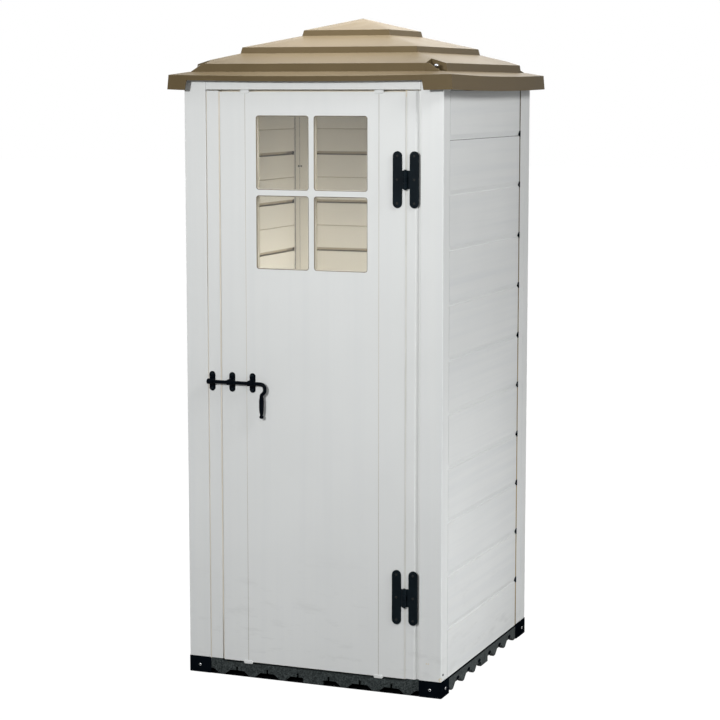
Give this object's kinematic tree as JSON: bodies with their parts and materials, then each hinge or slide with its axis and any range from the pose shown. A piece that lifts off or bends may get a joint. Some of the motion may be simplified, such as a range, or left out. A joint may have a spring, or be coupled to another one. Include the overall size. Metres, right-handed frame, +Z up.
{
  "type": "plastic garden shed",
  "caption": "Small upright plastic garden shed with plank walls, a stepped pyramid roof, a tiled floor and a glazed door on H hinges with a sliding bolt.",
  "frame": {"origin": "on the ground, below the middle of the square roof", "axes": "+Z up, -Y towards the front with the door, +X to the right as seen from the front"},
  "size_m": [0.895, 0.895, 1.995],
  "materials": {
    "wall_white": "off-white extruded PVC, satin, with a fine drawn grain",
    "door_white": "off-white extruded PVC, satin",
    "roof_brown": "taupe moulded plastic, satin",
    "floor_grey": "dark grey moulded plastic, coarse matt texture",
    "foot_black": "near-black moulded plastic, satin",
    "hardware_black": "black powder-coated steel",
    "pane_clear": "clear plastic glazing"
  },
  "bodies": {
    "frame": {"floor_tile_front_left": "floor_grey", "floor_tile_front_right": "floor_grey", "floor_tile_back_left": "floor_grey", "floor_tile_back_right": "floor_grey", "foot_front_left": "foot_black", "foot_front_right": "foot_black", "foot_back_left": "foot_black", "foot_back_right": "foot_black", "post_front_left": "wall_white", "post_front_right": "wall_white", "post_back_left": "wall_white", "post_back_right": "wall_white", "side_strip_left": "wall_white", "side_strip_right": "wall_white", "wall_left": "wall_white", "wall_right": "wall_white", "wall_back": "wall_white", "jamb_left": "wall_white", "jamb_right": "wall_white", "lintel": "wall_white", "roof_shell": "roof_brown", "hinge_upper_frame_leaf": "hardware_black", "hinge_upper_pin": "hardware_black", "hinge_lower_frame_leaf": "hardware_black", "hinge_lower_pin": "hardware_black", "bolt_keeper": "hardware_black"},
    "door": {"door_panel_left": "door_white", "door_panel_center": "door_white", "door_panel_right": "door_white", "door_clips": "door_white", "window_glazing": "pane_clear", "hinge_upper_door_leaf": "hardware_black", "hinge_lower_door_leaf": "hardware_black", "bolt_bracket_left": "hardware_black", "bolt_bracket_right": "hardware_black"},
    "bolt_rod": {"bolt_rod": "hardware_black"},
    "bolt_handle": {"bolt_handle": "hardware_black"}
  },
  "joints": [
    {"name": "door_hinge", "type": "hinge", "parent": "frame", "child": "door", "pos_m": [0.296, -0.418, 0], "axis": [0, 0, 1], "range_deg": [0, 170]},
    {"name": "bolt_slide", "type": "slide", "parent": "door", "child": "bolt_rod", "axis": [1, 0, 0], "range_m": [0, 0.055]},
    {"name": "bolt_turn", "type": "hinge", "parent": "bolt_rod", "child": "bolt_handle", "pos_m": [-0.185, -0.426, 0.908], "axis": [-1, 0, 0], "range_deg": [0, 150]}
  ]
}
